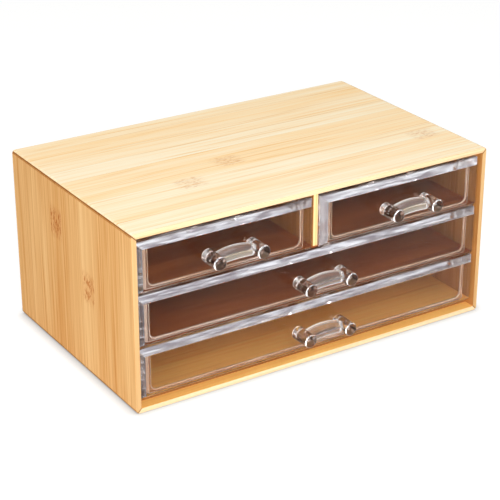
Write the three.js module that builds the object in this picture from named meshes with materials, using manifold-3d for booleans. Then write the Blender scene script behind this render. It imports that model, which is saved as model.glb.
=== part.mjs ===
// Jewelry box with drawers: a mitred bamboo case that holds four clear plastic drawers.
// Lengths are millimetres. X runs to the right, Y to the back and Z up. The origin is the
// middle of the case's underside. The drawers slide out towards -Y.

import * as THREE from 'three';
import { mergeVertices } from 'three/addons/utils/BufferGeometryUtils.js';
import Module from 'manifold-3d';

const wasm = await Module();
wasm.setup();

// Case
const caseWidth = 245;
const caseDepth = 150;
const boardThickness = 3;
const cornerRounding = 2;
const glueLine = 0.05;

// Shelves and divider
const shelfThickness = 3.3;
const shelfSetback = 0.5;
const dividerThickness = 3;

// Places of the drawer fronts in the case
const frontRecess = 0.1;
const gapBetweenFronts = 0.5;
const gapUnderFronts = 3.2;
const gapOverFronts = 3.6;
const gapBesideFronts = 0.3;
const gapBesideDivider = 1.2;

// Drawer front: a thick plate with a bevelled rim
const bevelWidth = 3.3;
const bevelDepth = 4.2;
const rimThickness = 2.5;

// Drawer tray
const trayHeight = 27;
const trayWall = 3.2;
const trayFloor = 2.9;
const trayInset = 5.5;
const trayRise = 1.4;
const runningGap = 0.3;
const trayBackGap = 2;
const gapOverTray = 1.9;

// Handle: two posts with pegs behind them, and a flat oval bar between the posts
const postSpacing = 28.5;
const postDiameter = 8.2;
const postLength = 14.3;
const postRounding = 0.9;
const pegDiameter = 3.5;
const pegLength = 4;
const pegClearance = 0.2;
const barStandoff = 7.6;
const barDepth = 10.2;
const barThickness = 5.8;
const barArch = 1.9;
const barTilt = THREE.MathUtils.degToRad(20);
const handleHeightShare = 0.48;

// Facets of the round shapes
const roundingSteps = 3;
const postSides = 20;
const barSteps = 8;
const barSides = 10;

// A cut runs this far past the face that it opens.
const cutOverrun = 1;

const innerWidth = caseWidth - 2 * boardThickness;
const rowPitch = runningGap + trayHeight + gapOverTray + shelfThickness;
const frontHeight = rowPitch - gapBetweenFronts;
const lowestFront = boardThickness + gapUnderFronts;
const highestFront = lowestFront + 2 * rowPitch;
const innerTop = highestFront + frontHeight + gapOverFronts;
const caseHeight = innerTop + boardThickness;
const backBoardFront = caseDepth / 2 - boardThickness;
const frontThickness = bevelDepth + rimThickness;
const frontFace = frontRecess - caseDepth / 2;
const trayDepth = backBoardFront - trayBackGap - frontFace - frontThickness - glueLine;

const drawers = [
  { name: 'upper_left', base: highestFront, side: -1 },
  { name: 'upper_right', base: highestFront, side: 1 },
  { name: 'middle', base: lowestFront + rowPitch, side: 0 },
  { name: 'lower', base: lowestFront, side: 0 },
];

function bamboo(color) {
  return new THREE.MeshStandardMaterial({ color, roughness: 0.5, metalness: 0 });
}

function brownBoard() {
  return new THREE.MeshStandardMaterial({ color: 0x804d2b, roughness: 0.45, metalness: 0 });
}

function clearPlastic() {
  return new THREE.MeshStandardMaterial({
    color: 0xf1eeea,
    roughness: 0.06,
    metalness: 0,
    transparent: true,
    opacity: 0.35,
  });
}

function piece(name, geometry, material) {
  const mesh = new THREE.Mesh(geometry, material);
  mesh.name = name;
  return mesh;
}

// A block between two opposite corners.
function block(low, high) {
  const geometry = new THREE.BoxGeometry(1, 1, 1);
  const corners = geometry.attributes.position;
  for (let i = 0; i < corners.count; i += 1) {
    const x = corners.getX(i) < 0 ? low[0] : high[0];
    const y = corners.getY(i) < 0 ? low[1] : high[1];
    const z = corners.getZ(i) < 0 ? low[2] : high[2];
    corners.setXYZ(i, x, y, z);
  }
  return geometry;
}

// A closed mesh as a solid that can be joined and cut.
function toSolid(geometry) {
  geometry.deleteAttribute('normal');
  geometry.deleteAttribute('uv');
  const merged = mergeVertices(geometry);
  return new wasm.Manifold(new wasm.Mesh({
    numProp: 3,
    vertProperties: merged.attributes.position.array,
    triVerts: new Uint32Array(merged.index.array),
  }));
}

function toGeometry(solid) {
  const mesh = solid.getMesh();
  const geometry = new THREE.BufferGeometry();
  geometry.setAttribute('position', new THREE.BufferAttribute(mesh.vertProperties, 3));
  geometry.setIndex(new THREE.BufferAttribute(mesh.triVerts, 1));
  geometry.computeVertexNormals();
  return geometry;
}

// Half of the rounded outer corner: from the mitre to where the outer face runs flat.
// A point is the distance from the board's middle and the height over its inner face.
function roundedEnd(halfLength) {
  const points = [];
  for (let i = 0; i <= roundingSteps; i += 1) {
    const angle = (Math.PI / 4) * (1 + i / roundingSteps);
    points.push([
      halfLength - glueLine - cornerRounding * (1 - Math.cos(angle)),
      boardThickness - cornerRounding * (1 - Math.sin(angle)),
    ]);
  }
  return points;
}

// One board of the mitred frame, running the full depth. The place function turns a point
// of the board's section into X and Z.
function mitredBoard(length, place) {
  const halfLength = length / 2;
  const inner = halfLength - boardThickness - glueLine;
  const end = roundedEnd(halfLength);
  const mirroredEnd = end.map(([along, over]) => [-along, over]).reverse();
  const section = [[-inner, 0], [inner, 0], ...end, ...mirroredEnd];
  const outline = new THREE.Shape(section.map(([along, over]) => place(along, over)));
  const geometry = new THREE.ExtrudeGeometry(outline, {
    depth: caseDepth,
    bevelEnabled: false,
  });
  geometry.rotateX(Math.PI / 2);
  geometry.translate(0, caseDepth / 2, 0);
  return geometry;
}

function topBoard() {
  return mitredBoard(caseWidth, (along, over) => new THREE.Vector2(along, innerTop + over));
}

function bottomBoard() {
  const place = (along, over) => new THREE.Vector2(along, boardThickness - over);
  return mitredBoard(caseWidth, place);
}

// A side board on the left, side -1, or on the right, side 1.
function sideBoard(side) {
  const middle = caseHeight / 2;
  const place = (along, over) => new THREE.Vector2(side * (innerWidth / 2 + over), middle + along);
  return mitredBoard(caseHeight, place);
}

// The back board is let in between the four mitred boards.
function backBoard() {
  const halfWidth = innerWidth / 2 - glueLine;
  return block(
    [-halfWidth, backBoardFront, boardThickness + glueLine],
    [halfWidth, caseDepth / 2, innerTop - glueLine],
  );
}

// The upper face of the panel that a row of drawers runs on.
function panelTop(base) {
  return base + trayRise - runningGap;
}

// A panel across the case, behind the drawer fronts, from one height to another.
function panel(bottom, top) {
  const halfWidth = innerWidth / 2 - glueLine;
  return block(
    [-halfWidth, frontFace + frontThickness + shelfSetback, bottom],
    [halfWidth, backBoardFront - glueLine, top],
  );
}

function basePanel() {
  return panel(boardThickness + glueLine, panelTop(lowestFront));
}

function shelf(base) {
  return panel(panelTop(base) - shelfThickness, panelTop(base));
}

// The divider's front edge stands level with the rims of the two fronts beside it.
function centreDivider() {
  return block(
    [-dividerThickness / 2, frontFace + bevelDepth, panelTop(highestFront) + glueLine],
    [dividerThickness / 2, backBoardFront - glueLine, innerTop - glueLine],
  );
}

// The pieces of a drawer are drawn from the middle of its front face's lower edge.

// A blind hole in the front face, a clearance wider and deeper than the peg in it.
function pegHole(side) {
  const radius = pegDiameter / 2 + pegClearance;
  const depth = pegLength + pegClearance;
  const hole = new THREE.CylinderGeometry(radius, radius, depth + cutOverrun, postSides);
  const middle = (depth - cutOverrun) / 2;
  hole.translate(side * postSpacing / 2, middle, handleHeightShare * frontHeight);
  return toSolid(hole);
}

function drawerFront(width) {
  const halfWidth = width / 2;
  const outline = new THREE.Shape([
    new THREE.Vector2(-halfWidth, 0),
    new THREE.Vector2(halfWidth, 0),
    new THREE.Vector2(halfWidth, frontHeight),
    new THREE.Vector2(-halfWidth, frontHeight),
  ]);
  const plate = new THREE.ExtrudeGeometry(outline, {
    depth: rimThickness,
    bevelThickness: bevelDepth,
    bevelSize: bevelWidth,
    bevelOffset: -bevelWidth,
    bevelSegments: 1,
  });
  plate.rotateX(Math.PI / 2);
  plate.translate(0, frontThickness, 0);
  const rearBevel = block(
    [-width, frontThickness, -cutOverrun],
    [width, frontThickness + bevelDepth + cutOverrun, frontHeight + cutOverrun],
  );
  return toGeometry(
    toSolid(plate)
      .subtract(toSolid(rearBevel))
      .subtract(pegHole(-1))
      .subtract(pegHole(1)),
  );
}

// The tray has a floor, two sides and a back. The drawer front closes its front end.
function drawerTray(width) {
  const halfTray = width / 2 - trayInset;
  const halfInside = halfTray - trayWall;
  const front = frontThickness + glueLine;
  const back = front + trayDepth;
  const top = trayRise + trayHeight;
  const shell = block([-halfTray, front, trayRise], [halfTray, back, top]);
  const inside = block(
    [-halfInside, front - cutOverrun, trayRise + trayFloor],
    [halfInside, back - trayWall, top + cutOverrun],
  );
  return toGeometry(toSolid(shell).subtract(toSolid(inside)));
}

// A handle post with its peg, turned about Y, its rounded end towards -Y.
function handlePost(side) {
  const radius = postDiameter / 2;
  const profile = [new THREE.Vector2(0, -postLength)];
  for (let i = 0; i <= roundingSteps; i += 1) {
    const angle = (Math.PI / 2) * (i / roundingSteps);
    profile.push(new THREE.Vector2(
      radius - postRounding * (1 - Math.sin(angle)),
      postRounding * (1 - Math.cos(angle)) - postLength,
    ));
  }
  profile.push(new THREE.Vector2(radius, -glueLine));
  profile.push(new THREE.Vector2(pegDiameter / 2, -glueLine));
  profile.push(new THREE.Vector2(pegDiameter / 2, pegLength));
  profile.push(new THREE.Vector2(0, pegLength));
  const post = new THREE.LatheGeometry(profile, postSides);
  post.translate(side * postSpacing / 2, 0, handleHeightShare * frontHeight);
  return toSolid(post);
}

// The bar runs from one post's axis to the other's and arches up between them. Its oval
// section is tilted, with the edge next to the drawer front raised.
function handleBar() {
  const height = handleHeightShare * frontHeight;
  const arch = new THREE.QuadraticBezierCurve3(
    new THREE.Vector3(-postSpacing / 2, -barStandoff, height),
    new THREE.Vector3(0, -barStandoff, height + 2 * barArch),
    new THREE.Vector3(postSpacing / 2, -barStandoff, height),
  );
  const section = new THREE.Shape();
  section.absellipse(0, 0, barDepth / 2, barThickness / 2, 0, 2 * Math.PI, false, barTilt);
  const bar = new THREE.ExtrudeGeometry(section, {
    steps: barSteps,
    curveSegments: barSides,
    extrudePath: arch,
  });
  return toSolid(bar);
}

function drawerHandle() {
  return toGeometry(handleBar().add(handlePost(-1)).add(handlePost(1)));
}

// A half-width drawer lies between the divider and a side board, a full-width one between
// the two side boards. Gives the front's width and the place of its middle.
function frontSpan(side) {
  const outerEdge = innerWidth / 2 - gapBesideFronts;
  if (side === 0) {
    return { width: 2 * outerEdge, middle: 0 };
  }
  const innerEdge = dividerThickness / 2 + gapBesideDivider;
  return { width: outerEdge - innerEdge, middle: side * (outerEdge + innerEdge) / 2 };
}

function drawer({ name, base, side }) {
  const { width, middle } = frontSpan(side);
  const group = new THREE.Group();
  group.position.set(middle, frontFace, base);
  group.add(piece(`${name}_tray`, drawerTray(width), clearPlastic()));
  group.add(piece(`${name}_front`, drawerFront(width), clearPlastic()));
  group.add(piece(`${name}_handle`, drawerHandle(), clearPlastic()));
  return group;
}

const jewelryBox = new THREE.Group();
jewelryBox.add(piece('top_board', topBoard(), bamboo(0xf6dfb8)));
jewelryBox.add(piece('bottom_board', bottomBoard(), bamboo(0xf0d5a8)));
jewelryBox.add(piece('left_board', sideBoard(-1), bamboo(0xe7bd89)));
jewelryBox.add(piece('right_board', sideBoard(1), bamboo(0xe7bd89)));
jewelryBox.add(piece('back_board', backBoard(), bamboo(0xe7bd89)));
jewelryBox.add(piece('base_panel', basePanel(), bamboo(0xe2b47c)));
jewelryBox.add(piece('lower_shelf', shelf(lowestFront + rowPitch), brownBoard()));
jewelryBox.add(piece('upper_shelf', shelf(highestFront), brownBoard()));
jewelryBox.add(piece('centre_divider', centreDivider(), bamboo(0xe7bd89)));
for (const place of drawers) {
  jewelryBox.add(drawer(place));
}

export default jewelryBox;
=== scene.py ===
"""Looks of a jewelry box: a mitred bamboo case with four clear plastic drawers.

The box stands on a white studio floor. Lengths are metres and the frame is the CAD
model's: X to the right, Y to the back, Z up, with the origin under the case's middle.
"""

import math

import bmesh
import bpy
from mathutils import Matrix, Vector


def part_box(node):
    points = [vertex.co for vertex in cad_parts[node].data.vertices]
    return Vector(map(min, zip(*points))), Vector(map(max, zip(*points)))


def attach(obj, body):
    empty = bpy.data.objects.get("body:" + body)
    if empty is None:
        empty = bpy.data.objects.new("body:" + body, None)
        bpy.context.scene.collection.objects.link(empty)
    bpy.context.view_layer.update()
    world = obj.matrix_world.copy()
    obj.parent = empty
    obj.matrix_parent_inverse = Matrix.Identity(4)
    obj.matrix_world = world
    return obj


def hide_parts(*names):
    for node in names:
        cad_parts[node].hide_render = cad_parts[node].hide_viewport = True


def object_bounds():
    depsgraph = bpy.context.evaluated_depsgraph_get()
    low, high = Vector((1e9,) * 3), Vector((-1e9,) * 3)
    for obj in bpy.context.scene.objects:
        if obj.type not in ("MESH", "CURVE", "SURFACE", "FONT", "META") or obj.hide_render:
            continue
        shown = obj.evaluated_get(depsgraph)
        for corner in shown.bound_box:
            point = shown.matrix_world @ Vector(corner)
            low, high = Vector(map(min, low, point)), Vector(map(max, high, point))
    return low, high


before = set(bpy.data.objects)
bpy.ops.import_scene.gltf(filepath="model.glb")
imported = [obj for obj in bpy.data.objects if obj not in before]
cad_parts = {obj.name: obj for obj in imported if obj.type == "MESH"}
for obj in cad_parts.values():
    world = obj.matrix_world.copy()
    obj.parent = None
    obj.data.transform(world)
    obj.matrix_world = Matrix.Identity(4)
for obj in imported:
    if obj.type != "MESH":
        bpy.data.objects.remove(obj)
cad_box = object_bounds()

# The width and height that the mitres' seams are drawn for, from a side board's box
side_low, side_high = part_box("left_board")
seam_size = (2 * abs(side_low.x), side_high.z)

MM = 0.001

# Camera: distance in metres, lens in millimetres
CAMERA_AZIMUTH = math.radians(-32.45)
CAMERA_ELEVATION = math.radians(24.6)
CAMERA_DISTANCE = 0.9912
CAMERA_LENS = 115.37
AIM_HEIGHT = 55 * MM
AIM_RIGHT = 0.08 * MM
AIM_DOWN = 11.53 * MM
CAMERA_CLIP = (0.01, 50)

# Light is mirrored many times inside the thick clear fronts.
LIGHT_BOUNCES = 48

# How strongly the white background lights the box
AMBIENT = 0.27

# Softboxes: place and size in metres, power in watts
LIGHT_AIM = (0, 0, 0.05)
SOFTBOXES = {
    "top_softbox": {"place": (-0.15, 0.2, 1.3), "size": (1.3, 1.0), "power": 6.3},
    "front_softbox": {"place": (-0.4, -1.1, 0.5), "size": (0.8, 0.6), "power": 19.5},
    "left_softbox": {"place": (-1.2, -0.25, 0.45), "size": (0.8, 0.7), "power": 1.0},
}

# Floor and background
WHITE = (1, 1, 1, 1)
FLOOR_RADIUS = 6
FLOOR_SIDES = 96
FLOOR_DROP = 0.1 * MM
FLOOR_GLOW = 0.8
CONTACT_SHADOW = 8 * MM
FLOOR_PLAIN = (0.8, 0.8, 0.8, 1)
FLOOR_SHADED = (0.32, 0.32, 0.31, 1)

# Case
FRONT_ARRIS = 0.5 * MM
PANEL_ARRIS = 0.3 * MM
ARRIS_STEPS = 3
PANEL_ARRIS_STEPS = 2
ROUND_PROFILE = 0.5

# Drawer, the same values as in the CAD model
BEVEL_WIDTH = 3.3 * MM
BEVEL_DEPTH = 4.2 * MM
TRAY_WALL = 3.2 * MM
TRAY_FLOOR = 2.9 * MM
POST_SPACING = 28.5 * MM
POST_DIAMETER = 8.2 * MM
BAR_DEPTH = 10.2 * MM
BAR_THICKNESS = 5.8 * MM
BAR_STANDOFF = 7.6 * MM
BAR_ARCH = 1.9 * MM
BAR_TILT = math.radians(20)
HANDLE_HEIGHT_SHARE = 0.48

# Drawer, finer than in the CAD model
PLATE_ARRIS = 0.3 * MM
TOP_DROP = 0.4 * MM
TRAY_CORNER = 2 * MM
INSIDE_CORNER = 3.5 * MM
JOIN_OVERLAP = 1 * MM
POST_ROUNDING = 1.1 * MM
PEG_DIAMETER = 6.8 * MM
ROOT_GAP = 0.1 * MM
BAR_END_SCALE = 0.84
POST_SIDES = 48
BAR_SIDES = 36
BAR_STEPS = 28
ROUND_STEPS = 6
LIP_ROUNDING = 0.9 * MM
LIP_STEPS = 2

# The finishes of each kind of piece, in the order of its material slots
BOARD_FINISHES = ("outside", "end", "inside")
PANEL_FINISHES = ("top", "underside", "front")
FRONT_FINISHES = ("plate", "rim", "level_bevel", "upright_bevel", "handle", "post", "cap")
TRAY_FINISHES = ("wall", "end", "lip", "rim")

# How squarely a face points along an axis, 1 at most, to get that side's finish
END_FACING = 0.3
UNDERSIDE_FACING = 0.5
CAP_FACING = 0.9
POST_FACING = 0.1
RIM_FACING = 0.85
BEVEL_FACING = (0.4, 0.85)
TRAY_FACING = 0.95
LIP_FACING = 0.2

# How many times further an upright edge rises than it goes aside
UPRIGHT_RATIO = 1.5

# How near two places or directions are that count as one
SAME_PLACE = 0.001 * MM
NEAR = 0.01 * MM
MITRE_SLACK = 0.12 * MM
POST_SLACK = 0.05 * MM
CAP_SLACK = 0.1 * POST_ROUNDING
FLAT_ANGLE = math.radians(1)
SMOOTH_ANGLE = math.radians(32)

# Noise: how many octaves are added, and how much each weighs against the one before
SOFT_DETAIL = 1.0
PLAIN_DETAIL = 2.0
FINE_DETAIL = 3.0
PLAIN_ROUGHNESS = 0.5
GRAIN_ROUGHNESS = 0.55

# Refractive indices. The trays' is low so that light reaches the inside of the drawers.
FRONT_INDEX = 1.59
TRAY_INDEX = 1.08

# Clear plastic. Scales are per metre, and each pair is where a noise starts and ends its
# effect, or the roughness that it starts and ends with.
HAZE_SCALE = 240.0
HAZE_RANGE = (0.35, 0.65)
WAVE_SCALE = 55.0
CLOUD_SCALE = 30.0
CLOUD_RANGE = (0.42, 0.6)
CLOUD_SHARE = 0.7
PATCH_SCALE = 24
PATCH_RANGE = (0.46, 0.66)
STREAK_LENGTH_SCALE = 60
STREAK_WIDTH_SCALE = 700
SURFACE_ROUGHNESS = (0.01, 0.05)
HANDLE_ROUGHNESS = (0.0, 0.02)
BEVEL_ROUGHNESS = (0.05, 0.2)
WAVE_DEPTH = 0.01 * MM
POST_STREAK_DEPTH = 0.05 * MM
END_CLEARNESS = 0.8
LIP_CLEARNESS = 0.5
RIM_CLEARNESS = 0.6

# Bamboo. A grain is the scale of a noise along the fibres and across them, per metre.
FINE_GRAIN = (16, 2100)
FIBRE_GRAIN = (11, 620)
BAND_GRAIN = (5, 150)
FLECK_GRAIN = (330, 900)
FINE_SHARE = 0.4
FIBRE_SHARE = 0.35
BAND_SHARE = 0.25
STRIP_CONTRAST = 0.12
TONE_RANGE = (0.36, 0.64)
VESSEL_RANGE = (0.56, 0.7)
VESSEL_SHARE = 0.3
FLECK_RANGE = (0.46, 0.62)
FLECK_SHARE = 0.8
GLUE_RANGE = (0.004, 0.02)
GLUE_BANDS = (0.45, 0.65)
GLUE_SHARES = (0.05, 0.55)
GLUE_DEPTH_SHARE = 0.8
SEAM_RANGE = (0.15 * MM, 0.5 * MM)
WOOD_ROUGHNESS = 0.6
WOOD_ROUGHNESS_SPREAD = 0.25
WOOD_SPECULAR = 0.04
WOOD_RELIEF = 0.05 * MM
WOOD_RELIEF_SHARE = 0.25
STRIP_WIDTH = 17 * MM
GRAIN_WAVE = 2.5 * MM
GRAIN_WAVE_SCALE = 7.0
KNOT_WIDTH = 15 * MM
KNOT_LENGTH = 20 * MM
KNOT_FADE_ALONG = (0.2 * KNOT_LENGTH, 0.6 * KNOT_LENGTH)
KNOT_FADE_ACROSS = (0.42 * KNOT_WIDTH, 0.52 * KNOT_WIDTH)
TOP_KNOT_SHARE = 0.4
SIDE_KNOT_SHARE = 0.85
TOP_KNOTS = ((-22 * MM, -10 * MM), (-58 * MM, -28 * MM), (104 * MM, -36 * MM))
SIDE_KNOTS = ((83 * MM, 18 * MM), (56 * MM, -21 * MM))
BACK_KNOTS = ((-60 * MM, 70 * MM), (45 * MM, 30 * MM))

# Brown board
CLOUDY_GRAIN = (9, 60)
GRIT_GRAIN = (900, 1400)
GRIT_SHARE = 0.15
GRIT_RANGE = (0.3, 0.7)
BOARD_ROUGHNESS = (0.4, 0.6)
BOARD_SPECULAR = 0.2
BOARD_RELIEF = 0.03 * MM
BOARD_RELIEF_SHARE = 0.12


def linear(red, green, blue):
    """A colour given as 0 to 255 screen values, as the linear RGBA that shaders use."""
    values = [c / 255 for c in (red, green, blue)]
    return [c / 12.92 if c <= 0.04045 else ((c + 0.055) / 1.055) ** 2.4 for c in values] + [1]


# Wood tones. FIBRE and the ones after it are multiplied over the others.
CREAM = linear(255, 243, 214)
HONEY = linear(255, 217, 160)
SAND = linear(246, 200, 138)
TAN = linear(218, 156, 88)
APRICOT = linear(255, 207, 120)
# SHADED_STRAW and SHADED_BISCUIT: darker bamboo as painted shade on the top and bottom boards'
# ends
SHADED_STRAW = linear(234, 208, 170)
SHADED_BISCUIT = linear(220, 188, 144)
AMBER = linear(255, 182, 96)
# SHADED_GINGER and SHADED_TAWNY: darker bamboo as painted shade inside the case
SHADED_GINGER = linear(208, 150, 88)
# SHADED_OAT and SHADED_CHAFF: darker bamboo as painted shade on the side boards' ends
SHADED_OAT = linear(208, 170, 120)
SHADED_CHAFF = linear(192, 150, 100)
SHADED_TAWNY = linear(180, 114, 56)
# SHADED_TOFFEE and SHADED_COCOA: painted shade on the base panel's front edge
SHADED_TOFFEE = linear(158, 104, 56)
SHADED_COCOA = linear(126, 78, 40)
BROWN = linear(178, 99, 47)
UMBER = linear(144, 73, 32)
FIBRE = linear(225, 190, 140)
NODE_MARK = linear(208, 150, 98)
GLUE = linear(205, 160, 110)
SEAM = linear(120, 80, 55)

# Plastic tones, and how strongly and in which colour a surface mirrors
CLEAR = linear(254, 252, 250)
PEARL = linear(243, 245, 253)
# PEARL to STREAK_SHADE: the bevels' streaks, painted reflections
STREAK_SHADE = linear(128, 118, 127)
# The rims' dark brown is painted shade of the gaps above and below each front
RIM_SHADE = linear(70, 34, 18)
# The posts' dark streaks are painted shade, the dark inside refracted along them
POST_SHADE = linear(138, 110, 100)
# The caps' brown is painted shade of the dim inside seen through them
CAP_SHADE = linear(104, 70, 58)
END_TAN = linear(215, 170, 135)
LIP_CREAM = linear(240, 205, 180)
RIM_GREY = linear(205, 196, 196)
MIRROR = (1, 1, 1, 1)
SILVER = (0.8, 0.8, 0.8, 1)
HALF_MIRROR = (0.5, 0.5, 0.5, 1)
CAP_MIRROR = (0.25, 0.21, 0.19, 1)
BRIGHT_MIRROR = (0.2, 0.14, 0.1, 1)
DULL_MIRROR = (0.12, 0.08, 0.06, 1)
# The rims barely mirror, which keeps their painted shade dark
RIM_SHADE_MIRROR = (0.03, 0.02, 0.01, 1)

# Places of a mix node's sockets, whose names repeat for each kind of value
MIX_FACTOR, MIX_BASE, MIX_COLOR, MIX_RESULT = 0, 6, 7, 2


# Nodes


def add_node(tree, kind, inputs=None, **settings):
    """A new node. An input is a plain value or the output socket that feeds it."""
    node = tree.nodes.new(kind)
    for name, value in settings.items():
        setattr(node, name, value)
    for key, value in (inputs or {}).items():
        if isinstance(value, bpy.types.NodeSocket):
            tree.links.new(value, node.inputs[key])
        else:
            node.inputs[key].default_value = value
    return node


def compute(tree, operation, *values):
    """The result of one math node."""
    inputs = dict(enumerate(values))
    return add_node(tree, "ShaderNodeMath", inputs, operation=operation).outputs[0]


def vector(tree, x, y, z):
    return add_node(tree, "ShaderNodeCombineXYZ", {"X": x, "Y": y, "Z": z}).outputs[0]


def noise(tree, place, scale, detail=PLAIN_DETAIL, roughness=PLAIN_ROUGHNESS):
    inputs = {"Vector": place, "Scale": scale, "Detail": detail, "Roughness": roughness}
    return add_node(tree, "ShaderNodeTexNoise", inputs).outputs["Fac"]


def ramp(tree, value, places, *colors):
    """The first colour up to the first place, the second from the second place on."""
    node = add_node(tree, "ShaderNodeValToRGB", {"Fac": value})
    for element, place, color in zip(node.color_ramp.elements, places, colors):
        element.position = place
        element.color = color
    return node.outputs["Color"]


def between(tree, value, low, high, start=0.0, end=1.0):
    """Turns low to high into start to end, smoothly, and holds beyond."""
    inputs = {"Value": value, "From Min": low, "From Max": high, "To Min": start, "To Max": end}
    node = add_node(tree, "ShaderNodeMapRange", inputs, interpolation_type="SMOOTHSTEP")
    return node.outputs["Result"]


def darken(tree, amount, base, color):
    """The base multiplied by a colour, as far as the amount says."""
    inputs = {MIX_FACTOR: amount, MIX_BASE: base, MIX_COLOR: color}
    node = add_node(tree, "ShaderNodeMix", inputs, data_type="RGBA", blend_type="MULTIPLY")
    return node.outputs[MIX_RESULT]


def distance(tree, first, second):
    return compute(tree, "ABSOLUTE", compute(tree, "SUBTRACT", first, second))


def bump(tree, shader, height, share, depth):
    """Gives the shader a relief of the depth, of which only the share is felt."""
    inputs = {"Height": height, "Strength": share, "Distance": depth}
    relief = add_node(tree, "ShaderNodeBump", inputs)
    tree.links.new(relief.outputs["Normal"], shader.inputs["Normal"])


def new_material(name):
    """A new material, its node tree and its surface shader."""
    material = bpy.data.materials.new(name)
    material.use_nodes = True
    tree = material.node_tree
    return material, tree, tree.nodes["Principled BSDF"]


# Bamboo


def mitre_seam(tree, axes, width, height):
    """1 on the glued line where two boards meet, 0 away from it."""
    from_side = compute(tree, "SUBTRACT", compute(tree, "ABSOLUTE", axes["X"]), width / 2)
    over_middle = compute(tree, "SUBTRACT", axes["Z"], height / 2)
    from_top = compute(tree, "SUBTRACT", compute(tree, "ABSOLUTE", over_middle), height / 2)
    return between(tree, distance(tree, from_side, from_top), *SEAM_RANGE, 1.0, 0.0)


def stretched_noise(tree, place, grain, seed, detail=PLAIN_DETAIL):
    """Noise drawn out along the fibres. The grain's two scales are along and across them."""
    along, across = grain
    scaled = vector(
        tree,
        compute(tree, "MULTIPLY", place["along"], along),
        compute(tree, "MULTIPLY", place["across"], across),
        compute(tree, "MULTIPLY_ADD", place["deep"], across, seed),
    )
    return noise(tree, scaled, 1.0, detail, GRAIN_ROUGHNESS)


def wood_place(tree, grain, across, seed):
    """Where a point lies in the wood, with the grain slightly wavy, and its strip."""
    coordinate = add_node(tree, "ShaderNodeTexCoord").outputs["Object"]
    split = add_node(tree, "ShaderNodeSeparateXYZ", {"Vector": coordinate})
    axes = {axis: split.outputs[axis] for axis in "XYZ"}
    deep = next(axis for axis in "XYZ" if axis not in (grain, across))
    along = compute(tree, "MULTIPLY", axes[grain], GRAIN_WAVE_SCALE)
    wave = noise(tree, vector(tree, along, 0.0, seed), scale=1.0)
    bent = compute(tree, "MULTIPLY_ADD", wave, GRAIN_WAVE, axes[across])
    strips = compute(tree, "MULTIPLY_ADD", bent, 1 / STRIP_WIDTH, seed)
    number = {"W": compute(tree, "FLOOR", strips)}
    chance = add_node(tree, "ShaderNodeTexWhiteNoise", number, noise_dimensions="1D")
    chance = chance.outputs["Value"]
    return {
        "axes": axes,
        "along": compute(tree, "ADD", axes[grain], chance),
        "across": bent,
        "deep": axes[deep],
        "strips": strips,
        "chance": chance,
    }


def knot_marks(tree, place, grain, across, knots):
    """1 in the knots, each given by its place along the grain and across it."""
    marks = 0.0
    for knot_along, knot_across in knots:
        along = distance(tree, place["axes"][grain], knot_along)
        aside = distance(tree, place["axes"][across], knot_across)
        in_length = between(tree, along, *KNOT_FADE_ALONG, 1.0, 0.0)
        in_width = between(tree, aside, *KNOT_FADE_ACROSS, 1.0, 0.0)
        marks = compute(tree, "MAXIMUM", marks, compute(tree, "MULTIPLY", in_length, in_width))
    return marks


def bamboo(name, grain, across, pale, dark, seed, seam=None, knots=(), knot_share=1.0):
    """Strips glued edge to edge across one axis, with fibres along another."""
    material, tree, shader = new_material(name)
    place = wood_place(tree, grain, across, seed)
    fine = stretched_noise(tree, place, FINE_GRAIN, seed, FINE_DETAIL)
    fibres = stretched_noise(tree, place, FIBRE_GRAIN, seed)
    bands = stretched_noise(tree, place, BAND_GRAIN, seed)
    tone = compute(tree, "MULTIPLY_ADD", place["chance"], STRIP_CONTRAST, -STRIP_CONTRAST / 2)
    for part, share in ((fine, FINE_SHARE), (fibres, FIBRE_SHARE), (bands, BAND_SHARE)):
        tone = compute(tree, "MULTIPLY_ADD", part, share, tone)
    color = ramp(tree, tone, TONE_RANGE, pale, dark)

    vessel = compute(tree, "MULTIPLY", between(tree, fibres, *VESSEL_RANGE), VESSEL_SHARE)
    color = darken(tree, vessel, color, FIBRE)

    if knots:
        flecks = between(tree, stretched_noise(tree, place, FLECK_GRAIN, seed), *FLECK_RANGE)
        flecks = compute(tree, "MULTIPLY_ADD", flecks, FLECK_SHARE, 1 - FLECK_SHARE)
        marks = knot_marks(tree, place, grain, across, knots)
        marks = compute(tree, "MULTIPLY", marks, compute(tree, "MULTIPLY", flecks, knot_share))
        color = darken(tree, marks, color, NODE_MARK)

    in_strip = compute(tree, "FRACT", place["strips"])
    to_edge = compute(tree, "MINIMUM", in_strip, compute(tree, "SUBTRACT", 1.0, in_strip))
    glued = between(tree, to_edge, *GLUE_RANGE, 1.0, 0.0)
    glued = compute(tree, "MULTIPLY", glued, between(tree, bands, *GLUE_BANDS, *GLUE_SHARES))
    color = darken(tree, glued, color, GLUE)

    if seam is not None:
        color = darken(tree, mitre_seam(tree, place["axes"], *seam), color, SEAM)

    tree.links.new(color, shader.inputs["Base Color"])
    rough = compute(tree, "MULTIPLY_ADD", fine, WOOD_ROUGHNESS_SPREAD, WOOD_ROUGHNESS)
    tree.links.new(rough, shader.inputs["Roughness"])
    shader.inputs["Specular IOR Level"].default_value = WOOD_SPECULAR
    relief = compute(tree, "SUBTRACT", fine, compute(tree, "MULTIPLY", glued, GLUE_DEPTH_SHARE))
    bump(tree, shader, relief, WOOD_RELIEF_SHARE, WOOD_RELIEF)
    return material


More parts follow.
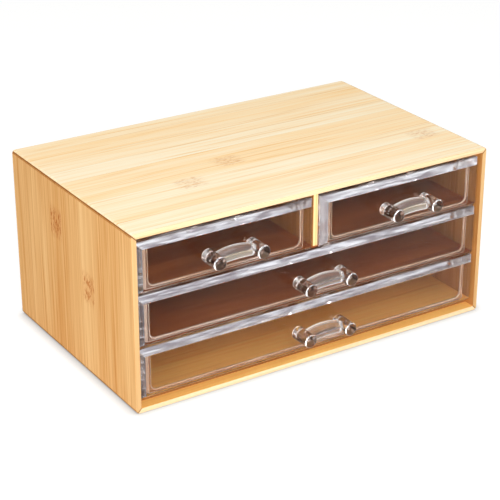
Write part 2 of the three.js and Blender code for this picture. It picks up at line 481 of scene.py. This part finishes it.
def brown_board(name, pale, dark, seed):
    """Smooth brown board with faint cloudy streaks."""
    material, tree, shader = new_material(name)
    place = wood_place(tree, "X", "Y", seed)
    clouds = stretched_noise(tree, place, CLOUDY_GRAIN, seed, FINE_DETAIL)
    grit = stretched_noise(tree, place, GRIT_GRAIN, seed, FINE_DETAIL)
    tone = compute(tree, "MULTIPLY", grit, GRIT_SHARE)
    tone = compute(tree, "MULTIPLY_ADD", clouds, 1 - GRIT_SHARE, tone)
    tree.links.new(ramp(tree, tone, TONE_RANGE, pale, dark), shader.inputs["Base Color"])
    rough = between(tree, grit, *GRIT_RANGE, *BOARD_ROUGHNESS)
    tree.links.new(rough, shader.inputs["Roughness"])
    shader.inputs["Specular IOR Level"].default_value = BOARD_SPECULAR
    bump(tree, shader, grit, BOARD_RELIEF_SHARE, BOARD_RELIEF)
    return material


# Clear plastic


def streaks(tree, place, length_axis):
    """Noise drawn out along one axis."""
    scale = [STREAK_LENGTH_SCALE if a == length_axis else STREAK_WIDTH_SCALE for a in "XYZ"]
    drawn = add_node(tree, "ShaderNodeVectorMath", {0: place, 1: scale}, operation="MULTIPLY")
    return noise(tree, drawn.outputs[0], 1.0, FINE_DETAIL)


def clear_plastic(
    name,
    index,
    tint_and_shade,
    mirror_tint,
    clearness=1.0,
    deep_color=None,
    roughness=SURFACE_ROUGHNESS,
    streak=None,
    depth=WAVE_DEPTH,
):
    """Polished clear plastic with faint moulding waves, or with streaks along one axis.

    Its colour turns to the deep one in clouds or streaks, and below a clearness of 1
    it shows on the surface as well. On the bevels, posts, rims and caps it is painted
    reflection and shade.
    """
    material, tree, shader = new_material(name)
    place = add_node(tree, "ShaderNodeTexCoord").outputs["Object"]
    if streak is None:
        haze = noise(tree, place, HAZE_SCALE, FINE_DETAIL)
        waves = noise(tree, place, WAVE_SCALE, SOFT_DETAIL)
        cloud = noise(tree, place, CLOUD_SCALE)
    else:
        haze = waves = cloud = streaks(tree, place, streak)
    rough = between(tree, haze, *HAZE_RANGE, *roughness)
    tree.links.new(rough, shader.inputs["Roughness"])
    if deep_color is None:
        deep_color = [1 - (1 - c) * CLOUD_SHARE for c in tint_and_shade]
    color = ramp(tree, cloud, CLOUD_RANGE, tint_and_shade, deep_color)
    tree.links.new(color, shader.inputs["Base Color"])
    bump(tree, shader, waves, share=1.0, depth=depth)
    shader.inputs["Transmission Weight"].default_value = clearness
    shader.inputs["IOR"].default_value = index
    shader.inputs["Specular Tint"].default_value = mirror_tint
    return material


def patchy_mirror(material, dull, bright):
    """Makes a surface mirror more in soft patches, as a slightly uneven moulding does."""
    tree = material.node_tree
    place = add_node(tree, "ShaderNodeTexCoord").outputs["Object"]
    patches = ramp(tree, noise(tree, place, PATCH_SCALE, SOFT_DETAIL), PATCH_RANGE, dull, bright)
    tree.links.new(patches, tree.nodes["Principled BSDF"].inputs["Specular Tint"])


def make_front_finishes():
    """The finishes of a drawer front and its handle, in the order of FRONT_FINISHES."""
    # The bevels' pearl and dark streaks are painted reflections.
    bevel = {"deep_color": STREAK_SHADE, "roughness": BEVEL_ROUGHNESS}
    # The posts' dark streaks are painted shade.
    post = {"deep_color": POST_SHADE, "streak": "Y", "depth": POST_STREAK_DEPTH}
    looks = {
        "plate": (CLEAR, DULL_MIRROR, {}),
        # The rim's dark brown and dull mirror are painted shade of the gaps around the fronts.
        "rim": (RIM_SHADE, RIM_SHADE_MIRROR, {}),
        "level_bevel": (PEARL, SILVER, {"streak": "X", **bevel}),
        "upright_bevel": (PEARL, SILVER, {"streak": "Z", **bevel}),
        "handle": (CLEAR, MIRROR, {"roughness": HANDLE_ROUGHNESS}),
        "post": (CLEAR, MIRROR, {"roughness": HANDLE_ROUGHNESS, **post}),
        # The caps' brown is painted shade of the drawer's inside seen through them.
        "cap": (CAP_SHADE, CAP_MIRROR, {}),
    }
    finishes = {
        name: clear_plastic(f"clear_{name}", FRONT_INDEX, tint_and_shade, mirror_tint, **settings)
        for name, (tint_and_shade, mirror_tint, settings) in looks.items()
    }
    patchy_mirror(finishes["plate"], DULL_MIRROR, BRIGHT_MIRROR)
    return [finishes[name] for name in FRONT_FINISHES]


def make_tray_finishes():
    """The finishes of a tray, in the order of TRAY_FINISHES."""
    wall = clear_plastic("clear_tray", TRAY_INDEX, CLEAR, HALF_MIRROR)
    end = clear_plastic("clear_tray_end", TRAY_INDEX, END_TAN, HALF_MIRROR, END_CLEARNESS)
    lip = clear_plastic("clear_tray_lip", TRAY_INDEX, LIP_CREAM, HALF_MIRROR, LIP_CLEARNESS)
    rim = clear_plastic("clear_tray_rim", TRAY_INDEX, RIM_GREY, HALF_MIRROR, RIM_CLEARNESS)
    return wall, end, lip, rim


# Mesh helpers


def new_object(name, work):
    """An object from a bmesh, which is used up."""
    mesh = bpy.data.meshes.new(name)
    bmesh.ops.recalc_face_normals(work, faces=work.faces)
    work.to_mesh(mesh)
    work.free()
    made = bpy.data.objects.new(name, mesh)
    bpy.context.scene.collection.objects.link(made)
    return made


def round_edges(work, edges, radius, steps=ARRIS_STEPS):
    settings = {"segments": steps, "profile": ROUND_PROFILE, "affect": "EDGES"}
    if edges:
        bmesh.ops.bevel(work, geom=edges, offset=radius, **settings)


def smooth(piece):
    """Smooth over small angles, sharp over the rest, with flat faces kept flat."""
    mesh = piece.data
    mesh.shade_smooth()
    mesh.set_sharp_from_angle(angle=SMOOTH_ANGLE)
    weighted = piece.modifiers.new("flat_faces", "WEIGHTED_NORMAL")
    weighted.keep_sharp = True
    return piece


def combined(base, operation, other):
    """The base object joined with or cut by the other one, which is removed."""
    step = base.modifiers.new("combine", "BOOLEAN")
    step.operation = operation
    step.solver = "EXACT"
    step.object = other
    depsgraph = bpy.context.evaluated_depsgraph_get()
    mesh = bpy.data.meshes.new_from_object(base.evaluated_get(depsgraph))
    base.modifiers.clear()
    base.data = mesh
    bpy.data.objects.remove(other)
    return base


def mark_faces(piece, names, finish_of):
    """Gives each face the material slot of the finish that finish_of names."""
    for face in piece.data.polygons:
        face.material_index = names.index(finish_of(face))


def dress(piece, materials, slot, body, *nodes):
    """Gives a piece its materials, its body and the CAD nodes that it stands for."""
    indices = [face.material_index for face in piece.data.polygons]
    piece.data.materials.clear()
    for material in materials:
        piece.data.materials.append(material)
    for face, index in zip(piece.data.polygons, indices):
        face.material_index = index
    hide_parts(*nodes)
    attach(piece, body)
    return piece


# Case


def cad_copy(node):
    """The CAD node's faces in a bmesh, joined and with flat areas made one face."""
    work = bmesh.new()
    work.from_mesh(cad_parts[node].data)
    bmesh.ops.remove_doubles(work, verts=work.verts, dist=SAME_PLACE)
    bmesh.ops.dissolve_limit(work, angle_limit=FLAT_ANGLE, verts=work.verts, edges=work.edges)
    return work


def at_depth(edge, depth):
    """True for an edge of the case's front or back end."""
    return all(abs(abs(v.co.y) - depth) < NEAR for v in edge.verts)


def on_mitre(vert, width, height):
    """True for a vertex on or next to a mitre's glued face."""
    from_side = abs(vert.co.x) - width / 2
    from_top = abs(vert.co.z - height / 2) - height / 2
    return abs(from_side - from_top) < MITRE_SLACK


def board_finish(face, middle):
    """The name of a face's finish: on an end, towards the case's middle, or outside."""
    if abs(face.normal.y) > END_FACING:
        return "end"
    return "inside" if face.normal.dot(middle - face.center) > 0 else "outside"


def case_board(node, material, edge, inside=None):
    """A mitred board. Its ends and inner face can take other materials, used here for darker
    painted shade.
    """
    low, high = cad_box
    width = high.x - low.x
    height = high.z - low.z
    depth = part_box(node)[1].y
    work = cad_copy(node)
    ends = [e for e in work.edges if at_depth(e, depth)]
    mitre_edges = {e for e in work.edges if all(on_mitre(v, width, height) for v in e.verts)}
    round_edges(work, [e for e in ends if e not in mitre_edges], FRONT_ARRIS)
    board = new_object(f"{node}_wood", work)
    middle = Vector((0, 0, height / 2))
    mark_faces(board, BOARD_FINISHES, lambda face: board_finish(face, middle))
    return dress(smooth(board), (material, edge, inside or material), "bamboo", "case", node)


def panel_finish(face):
    """The name of a face's finish: on the front edge, underneath, or elsewhere."""
    if face.normal.y < -END_FACING:
        return "front"
    return "underside" if face.normal.z < -UNDERSIDE_FACING else "top"


def panel(node, material, slot="bamboo", underside=None, front=None):
    """A flat panel, with materials of its own on its underside and front edge. The base panel's
    front is painted shade.
    """
    work = cad_copy(node)
    round_edges(work, list(work.edges), PANEL_ARRIS, PANEL_ARRIS_STEPS)
    made = new_object(f"{node}_wood", work)
    mark_faces(made, PANEL_FINISHES, panel_finish)
    finishes = (material, underside or material, front or material)
    return dress(smooth(made), finishes, slot, "case", node)


# Drawers


def box_mesh(low, high):
    work = bmesh.new()
    bmesh.ops.create_cube(work, size=1)
    for vert in work.verts:
        vert.co = [far if c > 0 else near for c, near, far in zip(vert.co, low, high)]
    return work


def is_upright(edge):
    """True for an edge that rises clearly more than it goes aside."""
    across, back, up = (abs(a - b) for a, b in zip(*(v.co for v in edge.verts)))
    return up > UPRIGHT_RATIO * max(across, back)


def lies_at(edge, axis, value):
    """True for an edge whose ends both have that value on the axis, x, y or z."""
    return all(abs(getattr(v.co, axis) - value) < SAME_PLACE for v in edge.verts)


def bevelled_plate(name, low, high):
    """The drawer front: a rim and a smaller face before it, joined by sloping strips."""
    work = box_mesh(low, high)
    rim = [v for v in work.verts if v.co.y < (low.y + high.y) / 2]
    face = next(f for f in work.faces if all(v in rim for v in f.verts))
    inset = bmesh.ops.extrude_face_region(work, geom=[face])["geom"]
    bmesh.ops.delete(work, geom=[face], context="FACES_ONLY")
    middle = (low + high) / 2
    for vert in rim:
        vert.co.y = low.y + BEVEL_DEPTH
    for vert in (g for g in inset if isinstance(g, bmesh.types.BMVert)):
        vert.co.x += math.copysign(BEVEL_WIDTH, middle.x - vert.co.x)
        vert.co.z += math.copysign(BEVEL_WIDTH, middle.z - vert.co.z)
    round_edges(work, list(work.edges), PLATE_ARRIS)
    return new_object(name, work)


def rounded_box(name, low, high, radius):
    """A box with its upright and bottom edges rounded."""
    work = box_mesh(low, high)
    edges = [
        e
        for e in work.edges
        if (is_upright(e) or lies_at(e, "z", low.z)) and not lies_at(e, "z", high.z)
    ]
    round_edges(work, edges, radius, ROUND_STEPS)
    return new_object(name, work)


def front_finish(face, plate_front, handle_tip, middle):
    """The name of a face's finish: on the handle, or on the plate's edges, bevels or sides."""
    if face.center.y < plate_front - ROOT_GAP / 2:
        if face.normal.y < -CAP_FACING and face.center.y < handle_tip + CAP_SLACK:
            return "cap"
        aside = abs(face.center.x - middle.x) - POST_SPACING / 2
        from_axis = math.hypot(aside, face.center.z - middle.z)
        round_side = abs(from_axis - POST_DIAMETER / 2) < POST_SLACK
        return "post" if round_side and abs(face.normal.y) < POST_FACING else "handle"
    if abs(face.normal.z) > RIM_FACING:
        return "rim"
    if not BEVEL_FACING[0] <= abs(face.normal.y) <= BEVEL_FACING[1]:
        return "plate"
    return "level_bevel" if abs(face.normal.z) > abs(face.normal.x) else "upright_bevel"


def drawer_front(name, materials):
    """The bevelled front and its handle, joined by two thick pegs."""
    low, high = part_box(f"{name}_front")
    high.z -= TOP_DROP
    front = bevelled_plate(f"{name}_front_clear", low, high)
    middle = handle_middle(name)
    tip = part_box(f"{name}_handle")[0].y
    pull = handle(middle, tip, low.y)
    peg_tip = low.y - 2 * ROOT_GAP
    peg_root = low.y + JOIN_OVERLAP
    for place in post_places(middle):
        peg = round_bar("peg", place, PEG_DIAMETER / 2, peg_tip, peg_root)
        pull = combined(pull, "UNION", peg)
    front = combined(front, "UNION", pull)
    mark_faces(front, FRONT_FINISHES, lambda face: front_finish(face, low.y, tip, middle))
    nodes = (f"{name}_front", f"{name}_handle")
    return dress(smooth(front), materials, "clear_plastic", f"{name}_drawer", *nodes)


def tray_finish(face, low, high):
    """The name of a face's finish: at the open end, on its lip, on the top rim, or elsewhere."""
    if face.center.y < low.y + LIP_ROUNDING:
        if face.normal.y < -TRAY_FACING:
            return "end"
        return "lip" if face.normal.y < -LIP_FACING else "wall"
    on_rim = face.normal.z > TRAY_FACING and face.center.z > high.z - NEAR
    return "rim" if on_rim else "wall"


def round_lip(tray, low, high):
    """Rounds the inner edge of the tray's open end."""
    work = bmesh.new()
    work.from_mesh(tray.data)

    def is_inner(vert):
        aside = min(vert.co.x - low.x, high.x - vert.co.x)
        return aside > TRAY_WALL - NEAR and vert.co.z > low.z + TRAY_FLOOR - NEAR

    end = [e for e in work.edges if lies_at(e, "y", low.y)]
    lip = [e for e in end if all(is_inner(v) for v in e.verts)]
    round_edges(work, lip, LIP_ROUNDING, LIP_STEPS)
    work.to_mesh(tray.data)
    work.free()


def drawer_tray(name, materials):
    """Floor, sides and back. The front closes the tray's open end."""
    low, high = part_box(f"{name}_tray")
    tray = rounded_box(f"{name}_tray_clear", low, high, TRAY_CORNER)
    inside_low = Vector((low.x + TRAY_WALL, low.y - INSIDE_CORNER, low.z + TRAY_FLOOR))
    inside_high = Vector((high.x - TRAY_WALL, high.y - TRAY_WALL, high.z + JOIN_OVERLAP))
    inside = rounded_box("inside", inside_low, inside_high, INSIDE_CORNER)
    tray = combined(tray, "DIFFERENCE", inside)
    round_lip(tray, low, high)
    mark_faces(tray, TRAY_FINISHES, lambda face: tray_finish(face, low, high))
    return dress(smooth(tray), materials, "clear_plastic", f"{name}_drawer", f"{name}_tray")


def tube(name, sections):
    """A closed tube through sections of equally many points each."""
    work = bmesh.new()
    rings = [[work.verts.new(point) for point in section] for section in sections]
    for first, second in zip(rings, rings[1:]):
        for i in range(len(first)):
            j = (i + 1) % len(first)
            work.faces.new((first[i], first[j], second[j], second[i]))
    work.faces.new(rings[0])
    work.faces.new(rings[-1])
    return new_object(name, work)


def circle_angles(sides):
    """The angles of that many points spread evenly round a circle."""
    return [2 * math.pi * i / sides for i in range(sides)]


def round_bar(name, middle, radius, tip, root, rounding=0):
    """A round bar along Y, its rim at the tip rounded."""
    steps = [(root, radius)]
    for i in range(ROUND_STEPS + 1 if rounding else 1):
        angle = (math.pi / 2) * i / ROUND_STEPS
        y = tip + rounding * (1 - math.sin(angle))
        steps.append((y, radius - rounding * (1 - math.cos(angle))))
    return tube(name, [
        [
            (middle.x + r * math.cos(turn), y, middle.z + r * math.sin(turn))
            for turn in circle_angles(POST_SIDES)
        ]
        for y, r in steps
    ])


def handle_bar(name, middle, face):
    """A flat oval bar, tilted, arched and swollen in the middle."""
    sections = []
    for i in range(BAR_STEPS + 1):
        share = 2 * i / BAR_STEPS - 1
        bulge = 1 - share * share
        swell = BAR_END_SCALE + (1 - BAR_END_SCALE) * bulge
        x = middle.x + share * POST_SPACING / 2
        y = face - BAR_STANDOFF
        z = middle.z + BAR_ARCH * bulge
        points = []
        for turn in circle_angles(BAR_SIDES):
            deep = swell * BAR_DEPTH / 2 * math.cos(turn)
            tall = swell * BAR_THICKNESS / 2 * math.sin(turn)
            forward = deep * math.cos(BAR_TILT) - tall * math.sin(BAR_TILT)
            upward = deep * math.sin(BAR_TILT) + tall * math.cos(BAR_TILT)
            points.append((x, y + forward, z + upward))
        sections.append(points)
    return tube(name, sections)


def handle_middle(name):
    """The point between the two posts, with Y left at zero."""
    low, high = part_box(f"{name}_front")
    height = low.z + HANDLE_HEIGHT_SHARE * (high.z - low.z)
    return Vector(((low.x + high.x) / 2, 0, height))


def post_places(middle):
    """Points on the two posts' axes."""
    return [middle + Vector((side * POST_SPACING / 2, 0, 0)) for side in (-1, 1)]


def handle(middle, tip, face):
    """Two round posts and the bar between them, just clear of the drawer front's face."""
    made = handle_bar("pull", middle, face)
    for place in post_places(middle):
        post = round_bar("post", place, POST_DIAMETER / 2, tip, face - ROOT_GAP, POST_ROUNDING)
        made = combined(made, "UNION", post)
    return made


# Studio


def seen_directly(tree):
    """1 for rays from the camera and for those that gloss and clear plastic send on."""
    rays = add_node(tree, "ShaderNodeLightPath").outputs
    sharp = compute(tree, "MAXIMUM", rays["Is Glossy Ray"], rays["Is Transmission Ray"])
    return compute(tree, "MAXIMUM", rays["Is Camera Ray"], sharp)


def floor_material():
    """White to the eye, with a soft shadow, and plain pale grey to light."""
    material, tree, shader = new_material("studio_floor")
    tree.nodes.remove(shader)
    plain = add_node(tree, "ShaderNodeBsdfDiffuse", {"Color": FLOOR_PLAIN})
    shaded = add_node(tree, "ShaderNodeBsdfDiffuse", {"Color": FLOOR_SHADED})
    contact = add_node(tree, "ShaderNodeAmbientOcclusion", {"Distance": CONTACT_SHADOW})
    strength = compute(tree, "MULTIPLY", contact.outputs["AO"], FLOOR_GLOW)
    glow = add_node(tree, "ShaderNodeEmission", {"Strength": strength})
    lit = add_node(tree, "ShaderNodeAddShader", {0: shaded.outputs[0], 1: glow.outputs[0]})
    inputs = {0: seen_directly(tree), 1: plain.outputs[0], 2: lit.outputs[0]}
    surface = add_node(tree, "ShaderNodeMixShader", inputs)
    tree.links.new(surface.outputs[0], tree.nodes["Material Output"].inputs["Surface"])
    return material


def studio_floor():
    work = bmesh.new()
    bmesh.ops.create_circle(work, cap_ends=True, segments=FLOOR_SIDES, radius=FLOOR_RADIUS)
    floor = new_object("studio_floor", work)
    floor.location.z = -FLOOR_DROP
    floor.data.materials.append(floor_material())


def studio_world():
    """White to the eye, and dimmer as a source of light."""
    world = bpy.data.worlds.new("studio")
    bpy.context.scene.world = world
    world.use_nodes = True
    tree = world.node_tree
    brightness = compute(tree, "MULTIPLY_ADD", seen_directly(tree), 1 - AMBIENT, AMBIENT)
    tree.links.new(brightness, tree.nodes["Background"].inputs["Strength"])
    tree.nodes["Background"].inputs["Color"].default_value = WHITE


def softbox(name, place, size, power):
    light = bpy.data.lights.new(name, "AREA")
    light.shape = "RECTANGLE"
    light.size, light.size_y = size
    light.energy = power
    lamp = bpy.data.objects.new(name, light)
    lamp.location = place
    lamp.rotation_mode = "QUATERNION"
    lamp.rotation_quaternion = (Vector(LIGHT_AIM) - Vector(place)).to_track_quat("-Z", "Y")
    bpy.context.scene.collection.objects.link(lamp)


def studio_camera():
    """The camera, turned to the box from the photograph's side."""
    camera = bpy.data.cameras.new("camera")
    camera.lens = CAMERA_LENS
    camera.clip_start, camera.clip_end = CAMERA_CLIP
    level = math.cos(CAMERA_ELEVATION)
    back = Vector((
        math.sin(CAMERA_AZIMUTH) * level,
        -math.cos(CAMERA_AZIMUTH) * level,
        math.sin(CAMERA_ELEVATION),
    ))
    right = Vector((math.cos(CAMERA_AZIMUTH), math.sin(CAMERA_AZIMUTH), 0))
    up = back.cross(right)
    aim = Vector((0, 0, AIM_HEIGHT)) + AIM_RIGHT * right - AIM_DOWN * up
    holder = bpy.data.objects.new("camera", camera)
    turn = Matrix((right, up, back)).transposed().to_4x4()
    holder.matrix_world = Matrix.Translation(aim + CAMERA_DISTANCE * back) @ turn
    bpy.context.scene.collection.objects.link(holder)
    bpy.context.scene.camera = holder


# The scene: studio, wood, case and drawers

scene = bpy.context.scene
scene.view_settings.view_transform = "Standard"
scene.cycles.max_bounces = LIGHT_BOUNCES
scene.cycles.transmission_bounces = LIGHT_BOUNCES
scene.cycles.glossy_bounces = LIGHT_BOUNCES
studio_camera()
studio_floor()
studio_world()
for name, settings in SOFTBOXES.items():
    softbox(name, **settings)

top_marks = {"seam": seam_size, "knots": TOP_KNOTS, "knot_share": TOP_KNOT_SHARE}
side_marks = {"seam": seam_size, "knots": SIDE_KNOTS, "knot_share": SIDE_KNOT_SHARE}
top_wood = bamboo("bamboo_top", "X", "Y", CREAM, HONEY, seed=3.3, **top_marks)
bottom_wood = bamboo("bamboo_bottom", "X", "Y", CREAM, HONEY, seed=8.1, **top_marks)
left_wood = bamboo("bamboo_left", "Z", "Y", SAND, TAN, seed=5.7, **side_marks)
right_wood = bamboo("bamboo_right", "Z", "Y", SAND, TAN, seed=11.2, **side_marks)
base_wood = bamboo("bamboo_base", "X", "Y", APRICOT, AMBER, seed=2.4)
back_wood = bamboo("bamboo_back", "X", "Z", SAND, TAN, seed=6.6, knots=BACK_KNOTS)
# The side boards' inner faces and the divider are darker bamboo as painted shade inside the
# case.
shaded_inner_wood = bamboo("bamboo_inside_shade", "Z", "Y", SHADED_GINGER, SHADED_TAWNY, seed=4.9)
divider_edge = bamboo("bamboo_divider_edge", "Z", "X", HONEY, SAND, seed=2.9)
# The ends of the case boards are darker bamboo as painted shade.
shaded_level_edge = bamboo("bamboo_level_edge_shade", "X", "Z", SHADED_STRAW, SHADED_BISCUIT, seed=7.2, seam=seam_size)
shaded_upright_edge = bamboo("bamboo_upright_edge_shade", "Z", "X", SHADED_OAT, SHADED_CHAFF, seed=1.6, seam=seam_size)
# The bottom board's inner face and the base panel's front edge are painted shade under the
# lowest front.
shaded_ledge_wood = bamboo("bamboo_ledge_shade", "X", "Y", APRICOT, AMBER, seed=4.4)
shaded_base_edge = bamboo("bamboo_base_edge_shade", "X", "Z", SHADED_TOFFEE, SHADED_COCOA, seed=5.2)
shelf_board = brown_board("brown_board", BROWN, UMBER, seed=9.4)
shelf_underside = brown_board("brown_board_underside", APRICOT, SAND, seed=3.8)

case_board("top_board", top_wood, shaded_level_edge)
case_board("bottom_board", bottom_wood, shaded_level_edge, shaded_ledge_wood)
case_board("left_board", left_wood, shaded_upright_edge, shaded_inner_wood)
case_board("right_board", right_wood, shaded_upright_edge, shaded_inner_wood)
panel("back_board", back_wood)
panel("base_panel", base_wood, front=shaded_base_edge)
panel("lower_shelf", shelf_board, "brown_board", shelf_underside)
panel("upper_shelf", shelf_board, "brown_board", shelf_underside)
panel("centre_divider", shaded_inner_wood, front=divider_edge)

front_finishes = make_front_finishes()
tray_finishes = make_tray_finishes()
for drawer in ("upper_left", "upper_right", "middle", "lower"):
    drawer_front(drawer, front_finishes)
    drawer_tray(drawer, tray_finishes)
